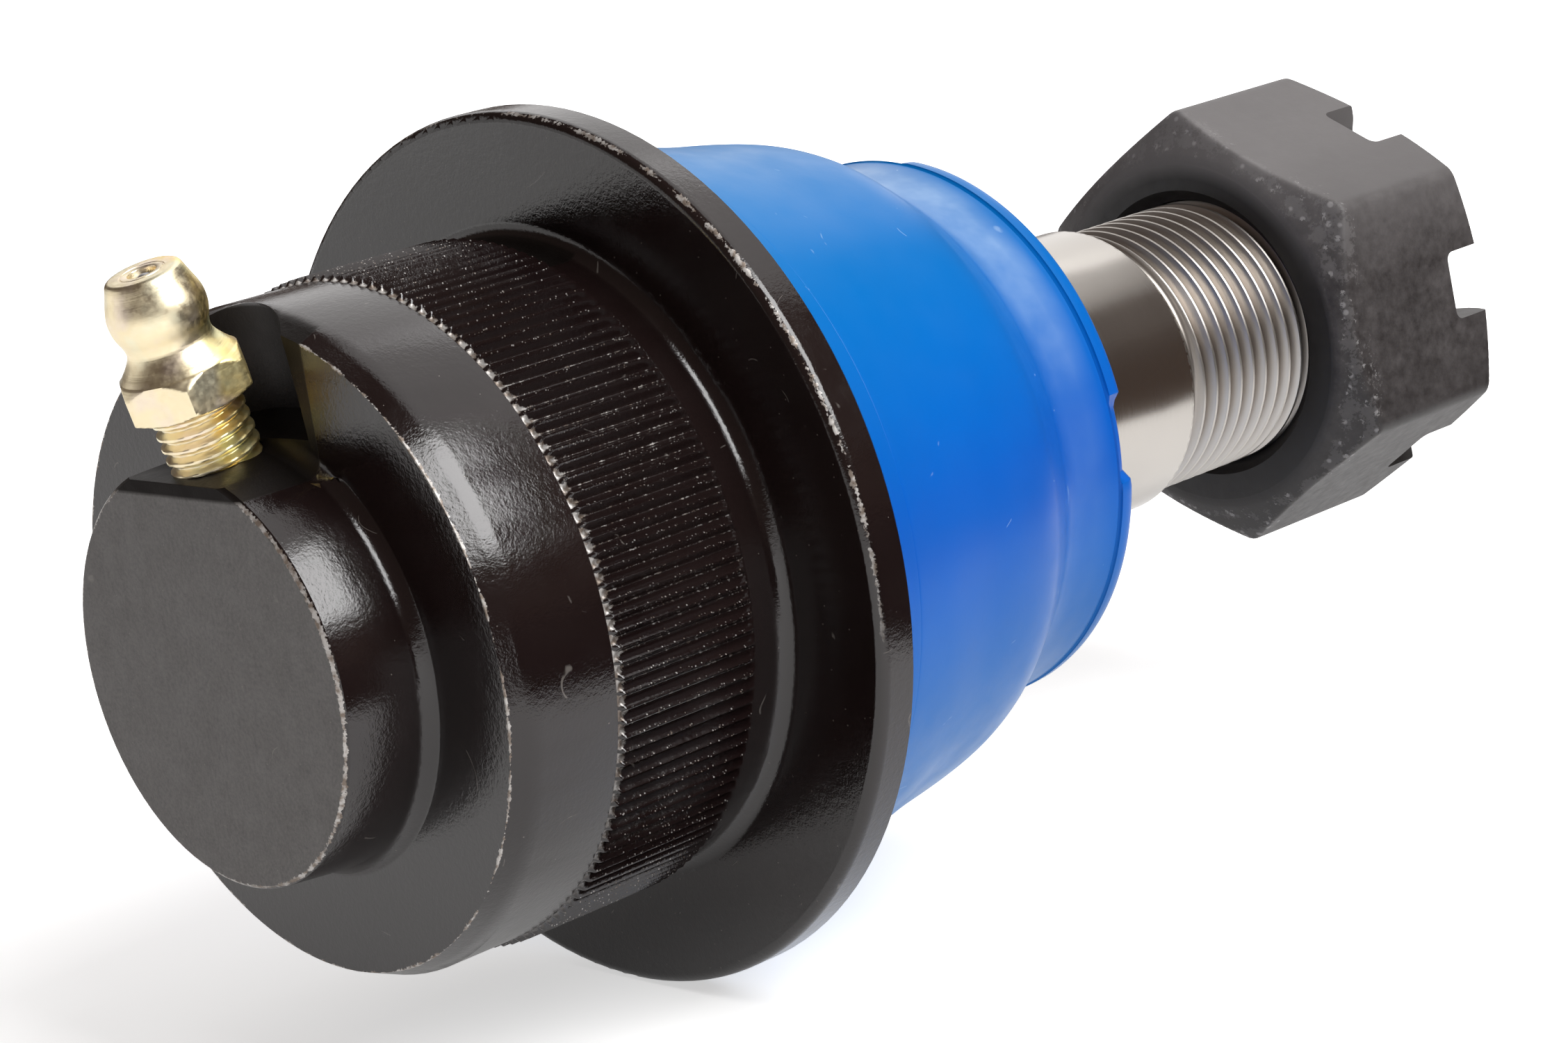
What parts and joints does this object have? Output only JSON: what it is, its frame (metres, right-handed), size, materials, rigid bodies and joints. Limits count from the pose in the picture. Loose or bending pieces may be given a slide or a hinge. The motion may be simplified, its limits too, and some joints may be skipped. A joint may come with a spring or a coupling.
{
  "type": "suspension ball joint",
  "caption": "Press-in suspension ball joint with flanged housing, swinging tapered stud, moulded boot, slotted nut and grease nipple.",
  "frame": {"origin": "centre of the boss face on the closed end, on the stud's axis", "axes": "+X along the stud's axis from the boss to the nut, +Z towards the grease nipple"},
  "size_m": [0.1223, 0.0646, 0.0646],
  "materials": {
    "black_coat": "semi-gloss electrocoat",
    "spring_steel": "plain steel",
    "bearing_polymer": "moulded",
    "plated_steel": "bright plated",
    "black_phosphate": "matte phosphate",
    "blue_polymer": "satin moulded",
    "yellow_zinc": "yellow zinc plating"
  },
  "bodies": {
    "housing": {"housing": "black_coat", "preload_spring": "spring_steel", "spring_plate": "spring_steel", "upper_bearing": "bearing_polymer", "retaining_ring": "spring_steel", "boot_base_ring": "spring_steel", "grease_fitting_body": "yellow_zinc", "grease_check_spring": "spring_steel"},
    "turning_seat": {"pressure_seat": "bearing_polymer", "dust_boot": "blue_polymer"},
    "boot_neck": {"boot_neck_ring": "spring_steel"},
    "stud": {"ball_stud": "plated_steel"},
    "nut": {"castle_nut": "black_phosphate"},
    "check_ball": {"grease_check_ball": "plated_steel"}
  },
  "joints": [
    {"name": "seat_turn", "type": "hinge", "parent": "housing", "child": "turning_seat", "pos_m": [0.026, 0, 0], "axis": [1, 0, 0], "continuous": true},
    {"name": "stud_swing", "type": "hinge", "parent": "turning_seat", "child": "boot_neck", "pos_m": [0.026, 0, 0], "axis": [0, 1, 0], "range_deg": [-22, 22], "deforming": ["dust_boot"]},
    {"name": "stud_spin", "type": "hinge", "parent": "boot_neck", "child": "stud", "pos_m": [0.026, 0, 0], "axis": [1, 0, 0], "continuous": true},
    {"name": "nut_travel", "type": "slide", "parent": "stud", "child": "nut", "axis": [1, 0, 0], "range_m": [-0.0125, 0.012]},
    {"name": "check_ball_travel", "type": "slide", "parent": "housing", "child": "check_ball", "axis": [0.2317, 0, -0.9728], "range_m": [0, 0.0008], "stiffness_N_per_m": 200, "springref_m": -0.0008, "deforming": ["grease_check_spring"]}
  ]
}
